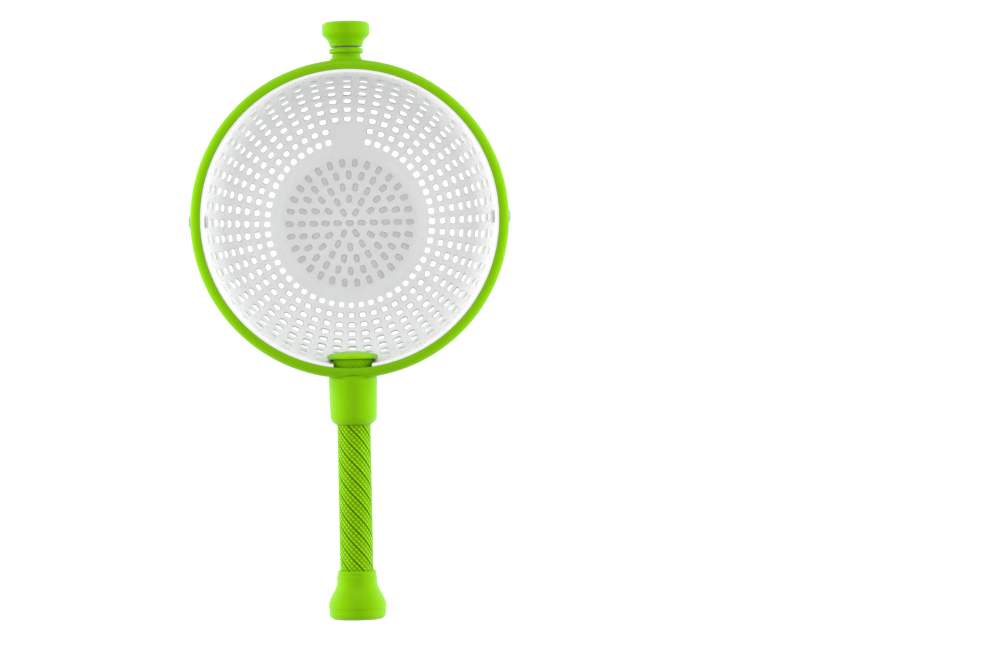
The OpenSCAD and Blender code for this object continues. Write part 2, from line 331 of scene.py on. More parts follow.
def add_wall_cells(build):
    half_az = TURN / COLUMNS / 2
    half_phi = ROW_STEP / 2
    for row in range(ROWS):
        phi = FIRST_ROW + row * ROW_STEP
        r = wall_section(phi, 0)[0]
        height = HOLE[0]
        width = min(HOLE[1], HOLE_SHARE * TURN * r / COLUMNS)
        slant = DROP if row else -TOP_RISE
        profile = hole_profile(height, width, 0.27 * width)
        cell = cell_ring(half_phi, half_az)
        for column in range(COLUMNS):
            azimuth = TURN / 4 + column * TURN / COLUMNS
            if is_blank(column, row):
                steps = np.linspace(-1, 1, SIDE_STEPS + 1)
                p, a = np.meshgrid(phi + steps * half_phi, azimuth + steps * half_az, indexing="ij")
                for depth in (0, WALL):
                    build.sheet(wall_points(a, p, depth))
                continue
            rings = [wall_points(azimuth + cell[:, 1], phi + cell[:, 0], 0)]
            for ring, depth in profile:
                down = ring[:, 0] + slant * depth / WALL
                rings.append(wall_points(azimuth + ring[:, 1] / r, phi + down / ARC_R, depth))
            rings.append(wall_points(azimuth + cell[:, 1], phi + cell[:, 0], WALL))
            build.rings(np.array(rings))


def add_turned_band(build, section):
    """A band with as many steps round as the cells have, from an open (r, z) outline."""
    steps = COLUMNS * SIDE_STEPS
    azimuth = TURN / 4 + (np.arange(steps) + SIDE_STEPS / 2) * TURN / steps
    r = section[:, 0:1]
    z = np.broadcast_to(section[:, 1:2], (len(r), steps))
    build.rings(np.stack([r * np.cos(azimuth), r * np.sin(azimuth), z], -1))
    return azimuth


def add_floor(build, azimuth):
    """The flat floor: two sheets with holes, joined by the holes' walls."""
    count = RING_POINTS
    centres = [(0.0, 0.0, 0.0)]
    for n in range(1, FLOOR_RINGS + 1):
        for i in range(6 * n):
            a = i * TURN / (6 * n)
            centres.append((n * FLOOR_PITCH * math.cos(a), n * FLOOR_PITCH * math.sin(a), a))
    profile = hole_profile(*FLOOR_HOLE, FLOOR_CORNER)
    holes = []
    for x, y, a in centres:
        turn = np.array([[math.cos(a), math.sin(a)], [-math.sin(a), math.cos(a)]])
        holes.append([ring @ turn + [x, y] for ring, _ in profile])
    for hole in holes:
        build.rings(np.array([np.column_stack([ring, np.full(count, FLOOR_Z - depth)])
                              for ring, (_, depth) in zip(hole, profile)]))
    for edge, level, pick in ((FLOOR_EDGE, FLOOR_Z, 0), (FOOT[0], FLOOR_Z - WALL, -1)):
        outer = edge * np.stack([np.cos(azimuth), np.sin(azimuth)], 1)
        flat = np.concatenate([outer] + [hole[pick] for hole in holes])
        loops = [list(range(len(outer)))]
        loops += [[len(outer) + count * k + i for i in range(count)] for k in range(len(holes))]
        found = geometry.delaunay_2d_cdt([Vector(p) for p in flat], [], loops, 1, 1e-6)
        points = np.array([(p.x, p.y, level) for p in found[0]])
        keep = [list(f) for f, origin in zip(found[2], found[5]) if list(origin) == [0]]
        build.add(points, keep)


def bowl_mesh():
    """The bowl as one closed mesh: wall cells, rim, the turn into the floor, foot ring and floor."""
    build = Builder()
    add_wall_cells(build)
    top_phi, low_phi = FIRST_ROW - ROW_STEP / 2, FIRST_ROW + (ROWS - 0.5) * ROW_STEP
    # over the rim, from the inner wall to the outer
    rim_in, rim_out = ARC_R - ARC_OFFSET, ARC_R + WALL - ARC_OFFSET
    near, far = RIM_ROUND
    inside = np.column_stack(wall_section(np.linspace(top_phi, near / ARC_R, 6), 0))
    outside = np.column_stack(wall_section(np.linspace(far / ARC_R, top_phi, 6), WALL))
    turn = np.linspace(0, math.pi / 2, 6)[1:]
    across, down = 1 - np.cos(turn), 1 - np.sin(turn)
    over_in = np.column_stack([rim_in + near * across, RIM_Z - near * down])
    over_out = np.column_stack([rim_out - far * across, RIM_Z - far * down])
    add_turned_band(build, np.concatenate([inside, over_in, over_out[::-1], outside]))
    # from the lowest row into the floor, inside and underneath
    blend = np.linspace(0, 1, 7)[:, None]

    def curve(a, b, c):
        return a * (1 - blend) ** 2 + 2 * b * blend * (1 - blend) + c * blend ** 2

    for depth, end in ((0, FLOOR_EDGE), (WALL, FOOT[1] + 0.4)):
        level = FLOOR_Z - depth
        phi_end = math.asin((RIM_Z - level) / (ARC_R + depth))
        phis = np.linspace(low_phi, phi_end - 0.02, 3)
        wall = np.column_stack(wall_section(phis, depth))
        corner = np.array(wall_section(phi_end, depth))
        section = np.concatenate([wall, curve(wall[-1], corner, np.array([end, level]))[1:]])
        if depth:
            foot = [[FOOT[1], level - 0.4], [FOOT[1], 0.5], [FOOT[1] - 0.5, 0], [FOOT[0] + 0.5, 0],
                    [FOOT[0], 0.5], [FOOT[0], level]]
            section = np.concatenate([section, foot])
        azimuth = add_turned_band(build, section)
    add_floor(build, azimuth)
    return make_object("bowl", np.concatenate(build.verts), build.faces, merge=0.002)


def store_painted_hole_shade(bowl):
    """Stores 1 on the edges and walls of the holes, fading to 0 at both surfaces and towards the rim: the
    amount of painted shade that darkens the hole walls.
    """
    fade_top, fade_height, turn_height = RIM_Z - 34, 16, 8
    points = np.array([v.co for v in bowl.data.vertices]) / MM
    radius, z = np.hypot(points[:, 0], points[:, 1]), points[:, 2]
    in_wall = np.hypot(radius + ARC_OFFSET, RIM_Z - z) - ARC_R
    on_floor = radius < FOOT[0] - 1
    depth = np.where(on_floor, FLOOR_Z - z, in_wall)
    edge = np.where(on_floor, LIP, LIP / 4)
    inside = np.clip(np.minimum(depth, WALL - depth) / edge, 0, 1)
    inside *= np.clip((fade_top - z) / fade_height, 0, 1) * ((z > FLOOR_Z + turn_height) | on_floor)
    # The bowl's material darkens its colour by this amount: painted shade on the hole walls.
    attribute = bowl.data.attributes.new("painted_shade", "FLOAT", "POINT")
    attribute.data.foreach_set("value", inside)


def flange_seat():
    """A stepped seat in the bowl's wall round the flange's edge."""
    gap, wide = 0.3, flange_high[0]
    front, back = 83, COLLAR_START
    corners = [(0, front, 0), (wide + 2 * gap, front, 0), (wide + 2 * gap, back - gap, 0),
               (wide - 4 * gap, back - gap, 0), (wide - 4 * gap, back + gap, 0), (0, back + gap, 0)]
    return lathe("flange_seat", rounded(corners), along_handle, 96)


def notch_cutter():
    """A U round the handle's collar with its mouth flared at the rim."""
    radius, flare = 14.0, 0.8
    bottom = [(radius * math.cos(a), radius * math.sin(a)) for a in np.linspace(math.pi, TURN, 33)]
    top = RIM_Z - AXIS_Z
    right = [(radius + flare - flare * math.cos(a), top - flare + flare * math.sin(a))
             for a in np.linspace(0, math.pi / 2, 8)]
    left = [(-x, z) for x, z in reversed(right)]
    outline = bottom + right + [(radius + flare, top + 5), (-radius - flare, top + 5)] + left
    near, far = 88.0, 103.0
    return prism("notch_cutter", outline, near, far, along_handle)


def bowl_piece():
    """The bowl with its notch and the flange's seat cut, and its holes' walls marked for painted shade."""
    bowl = bowl_mesh()
    cut(bowl, notch_cutter())
    cut(bowl, flange_seat())
    store_painted_hole_shade(bowl)
    return bowl


# ---------------------------------------------------------------- hoop

HOOP_STEPS = 1440
HOOP_IN = 101.05        # inner radius, against the bowl's rim
HOOP_ROUND = (5.9, 5.0)  # width and height of the rounded shoulder
SKIN = 2.4
BODY_DROP = 0.5         # how far the skin lies inside the two beads
LIP_TOP = HOOP_LOW + 6.5
SHOULDER = RIM_Z - 7
PANEL_Z = AXIS_Z - 0.5
PANEL_H = 11.0
PANEL_DEPTH = 0.9
SLOT = (17.0, 4.8)      # length and width of a screw's slot
SPIGOT_R = 15.6         # the part of the socket that goes into the hoop


def step_up(x, centre, width):
    """0 below centre, 1 above it, smooth over width."""
    t = np.clip((x - centre) / width + 0.5, 0, 1)
    return t * t * (3 - 2 * t)


def panel_mask(azimuth, z):
    """1 inside the sunk panels: long bars with round ends, two on each side between handle and foot."""
    from_handle = np.abs((azimuth + TURN / 4 + math.pi) % TURN - math.pi)
    along = from_handle * HOOP_R
    mask = np.zeros(np.broadcast(along, z).shape)
    quarter = TURN / 4 * HOOP_R
    spans = ((22.0, quarter - SLOT[0]), (quarter + 7.0, 2 * quarter - 17.0))
    for start, end in spans:
        half = PANEL_H / 2
        reach = np.clip(along, start + half, end - half)
        distance = np.hypot(along - reach, z - PANEL_Z) - half
        mask = np.maximum(mask, 1 - step_up(distance, 0, 0.5))
    return mask


def slot_outline(clearance):
    """A round-ended slot, less an even clearance."""
    straight, end_r = (SLOT[0] - SLOT[1]) / 2, SLOT[1] / 2 - clearance
    angles = (np.arange(48) + 0.5) * TURN / 48
    return [(math.copysign(straight, math.cos(a)) + end_r * math.cos(a), end_r * math.sin(a))
            for a in angles]


def along_slot(side):
    """From a prism's own axes to a slot's, which has its screw at the end that lies further along Y."""
    return beside(side, -(SLOT[0] - SLOT[1]) / 2)


def slot_pad(side):
    """The bowl's pad, which fills a slot to just below the hoop's skin."""
    clearance, inner, depth = 0.12, 98.6, 1.6
    name = "slot_pad_right" if side > 0 else "slot_pad_left"
    pad = prism(name, slot_outline(clearance), inner, HOOP_R - depth, along_slot(side))
    bevel = pad.modifiers.new("bevel", "BEVEL")
    bevel.width, bevel.segments, bevel.angle_limit = 0.0003, 3, math.radians(50)
    return pad


def hoop_piece():
    """A skin with a lip, a rounded shoulder and sunk panels, and a skirt round the bowl's rim."""
    azimuth = (np.arange(HOOP_STEPS) * TURN / HOOP_STEPS)[:, None]
    edges = [LIP_TOP, SHOULDER, PANEL_Z - PANEL_H / 2, PANEL_Z + PANEL_H / 2]
    fine = [e + d for e in edges for d in np.linspace(-0.4, 0.4, 5)]
    round_w, round_h = HOOP_ROUND
    levels = np.unique(np.concatenate([np.arange(HOOP_LOW + 0.6, RIM_Z - round_h, 0.7), fine]))
    levels = levels[(levels > HOOP_LOW + 0.5) & (levels < RIM_Z - round_h)]
    sunk = step_up(levels, LIP_TOP, 0.7) * (1 - step_up(levels, SHOULDER, 1.2))
    radius = HOOP_R - BODY_DROP * sunk - PANEL_DEPTH * panel_mask(azimuth, levels[None, :])
    turn = np.linspace(0, math.pi / 2, 13)
    top = np.column_stack([HOOP_R - round_w * (1 - np.cos(turn)), RIM_Z - round_h * (1 - np.sin(turn))])
    skin_r, skirt_r, skirt_low, groove = HOOP_R - SKIN, HOOP_IN + 2, HOOP_LOW + 5, RIM_Z - 3.2
    rest = rounded([(HOOP_R, RIM_Z, 0), (HOOP_IN, RIM_Z, 0.3), (HOOP_IN, skirt_low, 0.4),
                    (skirt_r, skirt_low, 0.4), (skirt_r, groove, 0.4), (skin_r, groove, 0.4),
                    (skin_r, HOOP_LOW, 0.4), (HOOP_R, HOOP_LOW, 0.5)], 4)
    fixed = np.concatenate([top, rest[1:]])
    r = np.concatenate([radius, np.broadcast_to(fixed[:, 0], (HOOP_STEPS, len(fixed)))], 1)
    z = np.broadcast_to(np.concatenate([levels, fixed[:, 1]]), r.shape)
    verts = np.stack([r * np.cos(azimuth), r * np.sin(azimuth), z], -1).reshape(-1, 3)
    hoop = make_object("hoop_band", verts, grid_faces(HOOP_STEPS, r.shape[1]))
    hole_r, hole_start, slot_start, far = SPIGOT_R + 0.05, 90, 98, 112
    hole = rounded([(0, hole_start, 0), (hole_r, hole_start, 0), (hole_r, far, 0), (0, far, 0)])
    cut(hoop, lathe("hole_cutter", hole, along_handle, 96))
    for side in (-1, 1):
        cut(hoop, prism("slot_cutter", slot_outline(0), slot_start, far, along_slot(side)))
    return hoop


def post_piece():
    """The foot's post, with a fillet into the hoop and a small collar."""
    bore, neck_r, collar_r, flare_w, flare_h = 4.3, 9.7, 11.6, 5.6, 4.6
    collar = (knob_low[1] - 4.4, knob_low[1] - 1.2)
    start, root = HOOP_R - 3, HOOP_R - 0.6
    corners = [(bore, start, 0), (neck_r + flare_w, start, 0)]
    corners += [(neck_r + flare_w * (1 - math.sin(a)), root + flare_h * (1 - math.cos(a)), 0)
                for a in np.linspace(0, math.pi / 2, 9)]
    corners += [(neck_r, collar[0], 0.4), (collar_r, collar[0], 0.8), (collar_r, collar[1], 0.8),
                (bore, collar[1], 0.2)]
    return lathe("foot_post", rounded(corners, 5), along_foot)


# ---------------------------------------------------------------- handle

TUBE_R = 11.4
TUBE_BORE = 9.2
SOCKET_BORE = 14.25


def socket_piece():
    """A barrel whose root follows the hoop, with a fine groove where they meet and a rounded mouth."""
    root_r, mouth_r, mouth_bore, lip, round_r = 16.5, 15.8, 11.9, 4.1, 6.0
    steps = 192
    end = SOCKET_END - 0.05
    angle = (np.arange(steps) * TURN / steps)[:, None]
    groove_r = root_r - 0.55
    saddle = np.sqrt((HOOP_R - 0.1) ** 2 - (root_r * np.sin(angle)) ** 2)
    # radius, and how far out from the hoop, or None at the socket's start
    root = [(SPIGOT_R, None), (SPIGOT_R, -1.2), (groove_r, -1.2), (groove_r, 0.35),
            (root_r - 0.25, 0.5), (root_r - 0.02, 0.95)]
    turn = np.linspace(0, math.radians(70), 12)
    mouth = [(mouth_r - round_r + round_r * math.cos(t), SOCKET_END - round_r + round_r * math.sin(t))
             for t in turn]
    inner = rounded([(mouth_bore + 0.5, end, 0), (mouth_bore, end, 0.4),
                     (mouth_bore, SOCKET_END - lip, 0.2), (SOCKET_BORE, SOCKET_END - lip, 0.2),
                     (SOCKET_BORE, SOCKET_START, 0.3), (SOCKET_BORE + 0.5, SOCKET_START, 0)], 4)
    level = np.zeros_like(saddle)
    rows = [(level + r, level + SOCKET_START if gap is None else saddle + gap) for r, gap in root]
    rows += [(level + r, level + d) for r, d in [*mouth, *inner]]
    r = np.concatenate([a for a, _ in rows], 1)
    d = np.concatenate([b for _, b in rows], 1)
    verts = np.stack([r * np.sin(angle), -d, AXIS_Z + r * np.cos(angle)], -1).reshape(-1, 3)
    return make_object("handle_socket_barrel", verts, grid_faces(steps, r.shape[1]))


KNURL_DEPTH = 0.8


def knurl_depth(angle, d):
    """Depth of the tube's pattern: steep spiral grooves, each with a raised line, over a diamond hatch."""
    starts, fine_starts, lead = 7, 21, 77.7
    circumference = TURN * TUBE_R

    def spiral(count, lead_mm):
        """Distance across the surface from the nearest of count spiral lines."""
        turns = (angle / TURN - d / lead_mm) * count
        slope = math.cos(math.atan2(circumference, abs(lead_mm)))
        return (turns - np.round(turns)) * circumference / count * slope

    def valley(distance, half_width):
        return np.clip(1 - np.abs(distance) / half_width, 0, 1)

    with_grooves = valley(spiral(fine_starts, lead), 0.8)
    across_grooves = 0.8 * valley(spiral(fine_starts, -lead), 0.75)
    hatch = np.maximum(with_grooves, across_grooves)
    main = spiral(starts, lead)
    groove = valley(main, 0.7) ** 0.6
    ridge = valley(main - 1.1, 0.5)
    depth = 0.06 + 0.5 * hatch
    return depth * (1 - 0.7 * ridge) * (1 - groove) + KNURL_DEPTH * groove


def tube_piece():
    """The knurled tube with its flared collar, which two slits with T-shaped ends let spring, and the
    painted shade of its grooves stored.
    """
    steps, pitch = 336, 0.24
    knurl_end = GRIP_START + 2
    d = np.concatenate([[COLLAR_START, COLLAR_START + 0.3],
                        np.arange(COLLAR_START + 0.6, knurl_end, pitch), [knurl_end + 0.5, TUBE_END]])
    angle = (np.arange(steps) * TURN / steps)[:, None]
    radius = tube_radius(d)
    fade_in = 0.25 * step_up(d, COLLAR_START + 1.2, 0.8) + 0.75 * step_up(d, COLLAR_START + 14, 16)
    inside = (fade_in * (1 - step_up(d, knurl_end, 0.5)))[None, :]
    r = radius[None, :] - knurl_depth(angle, d[None, :]) * inside
    r[:, 0] -= 0.35
    bore = np.array([[TUBE_BORE, TUBE_END], [TUBE_BORE, COLLAR_START]])
    r = np.concatenate([r, np.broadcast_to(bore[:, 0], (steps, 2))], 1)
    d = np.broadcast_to(np.concatenate([d, bore[:, 1]]), r.shape)
    verts = np.stack([r * np.sin(angle), -d, AXIS_Z + r * np.cos(angle)], -1).reshape(-1, 3)
    tube = make_object("knurled_tube", verts, grid_faces(steps, r.shape[1]))
    slit_w, slit_end, relief_l, relief_w, reach = 2.3, 113.5, 5.0, 1.6, COLLAR_R + 2
    half, cross = slit_w / 2, relief_l / 2
    outline = [(COLLAR_START - 1, -half), (slit_end - relief_w, -half), (slit_end - relief_w, -cross),
               (slit_end, -cross), (slit_end, cross), (slit_end - relief_w, cross),
               (slit_end - relief_w, half), (COLLAR_START - 1, half)]
    for side in (-1, 1):
        cut(tube, prism("slit_cutter", outline, 4, reach, through_tube(side)))
    store_painted_knurl_shade(tube)
    return tube


def tube_radius(d):
    """Radius over the knurl's tips: a flared collar that runs down to the plain tube."""
    flare = np.clip((COLLAR_START + 20.4 - d) / 17.6, 0, 1)
    return TUBE_R + (COLLAR_R - TUBE_R) * flare


def store_painted_knurl_shade(tube):
    """Stores how deep each point lies in the knurl, from 0 at the tips to 1 at the bottom of a groove: the
    amount of painted shade in the grooves.
    """
    points = np.array([v.co for v in tube.data.vertices]) / MM
    radius = np.hypot(points[:, 0], points[:, 2] - AXIS_Z)
    depth = (tube_radius(-points[:, 1]) - radius) / KNURL_DEPTH
    # The material darkens the tube's colour by this amount: painted shade in the grooves.
    attribute = tube.data.attributes.new("painted_shade", "FLOAT", "POINT")
    attribute.data.foreach_set("value", np.clip(depth, 0, 1))


def flange_piece():
    """A low dome with a rounded edge, on a stem that plugs the tube."""
    start, end, stem_end = -flange_high[1], COLLAR_START, -flange_low[1]
    edge = flange_high[0]
    stem = TUBE_BORE - 0.05
    corners = [(0, start, 0), (5, start + 0.05, 8), (edge - 3.2, start + 1.5, 4),
               (edge, start + 2.7, 1.5), (edge, end - 0.15, 1.5), (COLLAR_R - 0.1, end - 0.1, 0.3),
               (stem, end - 0.05, 0), (stem, stem_end, 0.5), (0, stem_end, 0)]
    return lathe("stop_flange_cap", rounded(corners, 6), along_handle)


def s_curve(r0, z0, r1, z1, steps=14):
    """Corners along a smooth S between two radii."""
    return [(r0 + (r1 - r0) * (1 - math.cos(math.pi * t)) / 2, z0 + (z1 - z0) * t, 0)
            for t in np.linspace(0, 1, steps + 1)]


def grip_piece():
    """A flared grip with a step round its neck and a band at its end, open where the disc goes in."""
    neck_r, wide_r = 13.55, grip_high[0] - 0.02
    seam, band = GRIP_START + 3.2, GRIP_START + 25.0
    seat = -disc_high[1]
    bore, pocket, disc_r, screw_hole = TUBE_R + 0.05, 10.0, disc_high[0] + 0.05, 2.1
    web = (TUBE_END + 0.05, TUBE_END + 3.3)
    flare = s_curve(neck_r, GRIP_START + 7.0, wide_r, GRIP_START + 24.0)
    corners = [(bore, GRIP_START, 0.3), (neck_r - 0.4, GRIP_START, 1.2), (neck_r - 0.5, seam, 0.05),
               (neck_r + 0.1, seam + 0.6, 0.15), *flare, (wide_r, band, 0.1),
               (wide_r - 0.3, band + 0.2, 0.1), (wide_r - 0.4, GRIP_END, 3.6), (disc_r, GRIP_END, 0.25),
               (disc_r, seat, 0), (pocket, seat, 0), (pocket, web[1], 0),
               (screw_hole, web[1], 0), (screw_hole, web[0], 0), (bore, web[0], 0)]
    return lathe("end_grip_shell", rounded(corners, 7), along_handle, 160)


def disc_piece():
    """A flat disc with a soft edge and a barely raised middle."""
    seat, face, edge = -disc_high[1], GRIP_END, disc_high[0]
    corners = [(0, seat, 0), (edge, seat, 0.2), (edge, face - 0.1, 0.45), (edge - 2.5, face, 2),
               (0, face, 0)]
    return lathe("end_disc_cap", rounded(corners, 5), along_handle, 160)


# ---------------------------------------------------------------- foot

def knob_piece():
    """A flared knob with a fine step above its neck and a pocket for its pad."""
    start, end, wide = knob_low[1], pad_high[1], knob_high[0] + 0.45
    bore, pocket = 4.62, pad_high[0] + 0.05
    floor = pad_low[1] - 3.4
    corners = [(bore, start, 0.3), (10.8, start, 0.7), (11.7, start + 2.4, 0.2),
               (11.55, start + 2.6, 0.1), *s_curve(11.85, start + 2.8, wide, start + 9.5, 12),
               (wide, end - 0.7, 3.0), (pocket + 1, end - 0.55, 1), (pocket, end - 0.6, 0.2),
               (pocket, floor, 0), (bore, floor, 0)]
    return lathe("foot_knob_body", rounded(corners, 6), along_foot, 144)


def pad_piece():
    """The low dome over the knob's screw."""
    low, high, edge = pad_low[1], pad_high[1], pad_high[0]
    corners = [(0, low, 0), (edge, low, 0.2), (edge, high - 0.62, 0.3), (edge * 0.6, high - 0.12, 4),
               (0, high, 0)]
    return lathe("foot_pad_cap", rounded(corners, 6), along_foot, 144)


# ---------------------------------------------------------------- screws

def screw_piece(side):
    """A slotted pan head on a plain shank."""
    tip, top, head_r, shank_r = screw_low[0], screw_high[0], screw_high[2] - SCREW_Z, 2.0
    seat = top - 2.0
    corners = [(0, tip, 0), (shank_r, tip, 0.4), (shank_r, seat, 0), (head_r, seat, 0.15),
               (head_r, seat + 1.1, 0.5), (head_r - 1.1, top - 0.12, 1.1), (0, top, 0)]
    name = "screw_head_right" if side > 0 else "screw_head_left"
    screw = lathe(name, rounded(corners, 6), along_screw(side), 96)
    tilt, half_l, half_w, depth = math.radians(24), 6, 0.6, 1.0
    straight = [(-half_l, -half_w), (half_l, -half_w), (half_l, half_w), (-half_l, half_w)]
    outline = [(x * math.cos(tilt) - y * math.sin(tilt), x * math.sin(tilt) + y * math.cos(tilt))
               for x, y in straight]
    cut(screw, prism("driver_slot", outline, top - depth, top + 2, beside(side)))
    return screw


def nut_piece(side):
    """A round flat-headed nut, its head inside the bowl."""
    head, tip, head_r, barrel_r, bore = nut_low[0], nut_high[0], nut_high[2] - SCREW_Z, 2.9, 2.05
    seat, blind_end = head + 1.1, head + 1.9
    corners = [(0, head, 0), (head_r - 0.9, head, 0.4), (head_r, head + 0.7, 0.3), (head_r, seat, 0.1),
               (barrel_r, seat, 0), (barrel_r, tip, 0.2), (bore, tip, 0.2), (bore, blind_end, 0),
               (0, blind_end, 0)]
    name = "nut_head_right" if side > 0 else "nut_head_left"
    return lathe(name, rounded(corners, 6), along_screw(side), 96)


# ---------------------------------------------------------------- materials

class Nodes:
    """Short names for building one material's node tree."""

    def __init__(self, name):
        self.material = bpy.data.materials.new(name)
        self.material.use_nodes = True
        self.tree = self.material.node_tree
        self.shader = self.tree.nodes["Principled BSDF"]
        self.place = self.add("ShaderNodeTexCoord").outputs["Object"]

    def add(self, kind, **settings):
        node = self.tree.nodes.new(kind)
        for key, value in settings.items():
            setattr(node, key, value)
        return node

    def link(self, source, target):
        self.tree.links.new(source, target)

    def noise(self, scale, detail=2.0, roughness=0.5, place=None):
        node = self.add("ShaderNodeTexNoise")
        node.inputs["Scale"].default_value = scale
        node.inputs["Detail"].default_value = detail
        node.inputs["Roughness"].default_value = roughness
        self.link(place or self.place, node.inputs["Vector"])
        return node.outputs["Fac"]

    def mapped(self, value, low, high, to_low, to_high):
        node = self.add("ShaderNodeMapRange")
        ends = {"From Min": low, "From Max": high, "To Min": to_low, "To Max": to_high}
        for key, number in ends.items():
            node.inputs[key].default_value = number
        self.link(value, node.inputs["Value"])
        return node.outputs["Result"]

    def mix(self, factor, first, second):
        node = self.add("ShaderNodeMix", data_type="RGBA")
        for socket, colour in zip([i for i in node.inputs if i.type == "RGBA"], (first, second)):
            if isinstance(colour, bpy.types.NodeSocket):
                self.link(colour, socket)
            else:
                socket.default_value = (*colour, 1)
        self.link(factor, node.inputs["Factor"])
        return next(o for o in node.outputs if o.type == "RGBA")

    def bump(self, height, strength, distance, normal=None):
        node = self.add("ShaderNodeBump")
        node.inputs["Strength"].default_value = strength
        node.inputs["Distance"].default_value = distance
        self.link(height, node.inputs["Height"])
        if normal:
            self.link(normal, node.inputs["Normal"])
        return node.outputs["Normal"]

    def set(self, **values):
        for key, value in values.items():
            self.shader.inputs[key.replace("_", " ")].default_value = value


def moulded_plastic(name, colour, shade, roughness, grain, glow, glow_radius, ior=1.49, tint=(1, 1, 1),
                    painted_shade_factor=0.25):
    """Injection-moulded plastic: slow colour drift, uneven gloss, a fine grain and painted shade that
    darkens hollows.
    """
    n = Nodes(name)
    drift = n.mapped(n.noise(38, 3), 0.35, 0.65, 0, 1)
    surface = n.mix(drift, colour, shade)
    # Painted shade: where a mesh stores an amount of shade, the colour darkens towards the colour times
    # the shade factor.
    painted_shade = n.add("ShaderNodeAttribute", attribute_name="painted_shade").outputs["Fac"]
    n.link(n.mix(n.mapped(painted_shade, 0.08, 0.75, 0, 1), surface, [c * painted_shade_factor for c in colour]),
           n.shader.inputs["Base Color"])
    gloss = n.noise(420, 3, 0.6)
    n.link(n.mapped(gloss, 0.3, 0.7, roughness - 0.05, roughness + 0.06), n.shader.inputs["Roughness"])
    waves = n.bump(n.noise(95, 1), 0.10, 0.0006)
    n.link(n.bump(n.noise(grain, 2, 0.6), 0.16, 0.00006, waves), n.shader.inputs["Normal"])
    n.set(IOR=ior, Specular_Tint=(*tint, 1), Subsurface_Weight=glow, Subsurface_Scale=glow_radius)
    n.shader.inputs["Subsurface Radius"].default_value = (1.0, 1.0, 1.0)
    return n.material


def turned_metal(name, colour, shade, roughness, centre, axis):
    """Metal with fine lathe rings round an axis through centre."""
    n = Nodes(name)
    shift = n.add("ShaderNodeMapping", vector_type="POINT")
    shift.inputs["Location"].default_value = [-c for c in centre]
    n.link(n.place, shift.inputs["Vector"])
    rings = n.add("ShaderNodeTexWave", wave_type="RINGS", rings_direction=axis, wave_profile="SIN")
    rings.inputs["Scale"].default_value = 900
    rings.inputs["Distortion"].default_value = 1.2
    rings.inputs["Detail"].default_value = 2
    rings.inputs["Detail Scale"].default_value = 3
    n.link(shift.outputs["Vector"], rings.inputs["Vector"])
    n.link(n.mix(n.noise(600, 3), colour, shade), n.shader.inputs["Base Color"])
    n.link(n.mapped(n.noise(1500, 3), 0.3, 0.7, roughness - 0.06, roughness + 0.08),
           n.shader.inputs["Roughness"])
    n.link(n.bump(rings.outputs["Fac"], 0.25, 0.00003), n.shader.inputs["Normal"])
    n.set(Metallic=1.0)
    return n.material


SOFT_GLOSS = {"ior": 1.36, "tint": (0.7, 1.0, 0.2)}
SCREW_CENTRE = (0, 0, SCREW_Z * MM)
HANDLE_CENTRE = (0, 0, AXIS_Z * MM)

LIME = moulded_plastic("lime_plastic", (0.200, 0.495, 0.0), (0.190, 0.475, 0.0),
                       0.38, 5200, 0.12, 0.004, **SOFT_GLOSS)
# A lighter copy of the lime plastic: painted light on the knurl's tips and on the flange, with painted
# shade in the knurl's grooves.
LIME_PAINTED_LIGHTER = moulded_plastic("lime_plastic_painted_lighter", (0.265, 0.625, 0.0), (0.250, 0.600, 0.0),
                        0.38, 5200, 0.12, 0.004, painted_shade_factor=0.3, **SOFT_GLOSS)
# The bowl's colour falls to half on its holes' walls: painted shade.
BOWL = moulded_plastic("bowl_plastic", (0.905, 0.905, 0.912), (0.892, 0.892, 0.899),
                       0.3, 4200, 0.2, 0.004, painted_shade_factor=0.5)
DISC = moulded_plastic("disc_plastic", (0.82, 0.82, 0.82), (0.80, 0.80, 0.80),
                       0.34, 5200, 0.1, 0.003)
BEARING = moulded_plastic("bearing_plastic", (0.74, 0.73, 0.70), (0.70, 0.69, 0.66),
                          0.45, 3600, 0.1, 0.002)
NICKEL = turned_metal("nickel", (0.90, 0.90, 0.91), (0.84, 0.84, 0.85), 0.45, SCREW_CENTRE, "X")
STEEL = turned_metal("steel", (0.66, 0.66, 0.67), (0.56, 0.56, 0.58), 0.28, SCREW_CENTRE, "X")
INNER_STEEL = turned_metal("inner_steel", (0.62, 0.62, 0.63), (0.54, 0.54, 0.55), 0.32, HANDLE_CENTRE, "Y")
BRASS = turned_metal("brass", (0.78, 0.55, 0.20), (0.70, 0.48, 0.17), 0.3, HANDLE_CENTRE, "Y")


# ---------------------------------------------------------------- assembly

finish_piece(bowl_piece(), "frame", "basket", BOWL)
finish_piece(hoop_piece(), "frame", "hoop", LIME)
finish_piece(post_piece(), "frame", None, LIME)
finish_piece(socket_piece(), "frame", "handle_socket", LIME)
# The tube and the flange take the lighter lime: painted light.
finish_piece(tube_piece(), "handle", "handle_tube", LIME_PAINTED_LIGHTER)
finish_piece(flange_piece(), "handle", "stop_flange", LIME_PAINTED_LIGHTER)
finish_piece(grip_piece(), "handle", "end_grip", LIME)
finish_piece(disc_piece(), "handle", "end_disc", DISC)
finish_piece(knob_piece(), "foot", "foot_knob", LIME)
finish_piece(pad_piece(), "foot", "foot_pad", LIME)
for side, name in ((-1, "left"), (1, "right")):
    finish_piece(screw_piece(side), "frame", "screw_" + name, STEEL)
    finish_piece(nut_piece(side), "frame", "nut_" + name, NICKEL)
    finish_piece(slot_pad(side), "frame", None, BOWL)

INNER_FINISH = {"socket_bush": BEARING, "pivot_bush": BEARING, "thrust_washer": BEARING,
                "tube_plug": LIME, "socket_clip": INNER_STEEL, "grip_screw": INNER_STEEL,
                "pivot_screw": INNER_STEEL, "head_washer": INNER_STEEL, "pivot_insert": BRASS}
for node, material in INNER_FINISH.items():
    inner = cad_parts[node]
    inner.data.materials.clear()
    inner.data.materials.append(material)


# ---------------------------------------------------------------- floor, light and camera

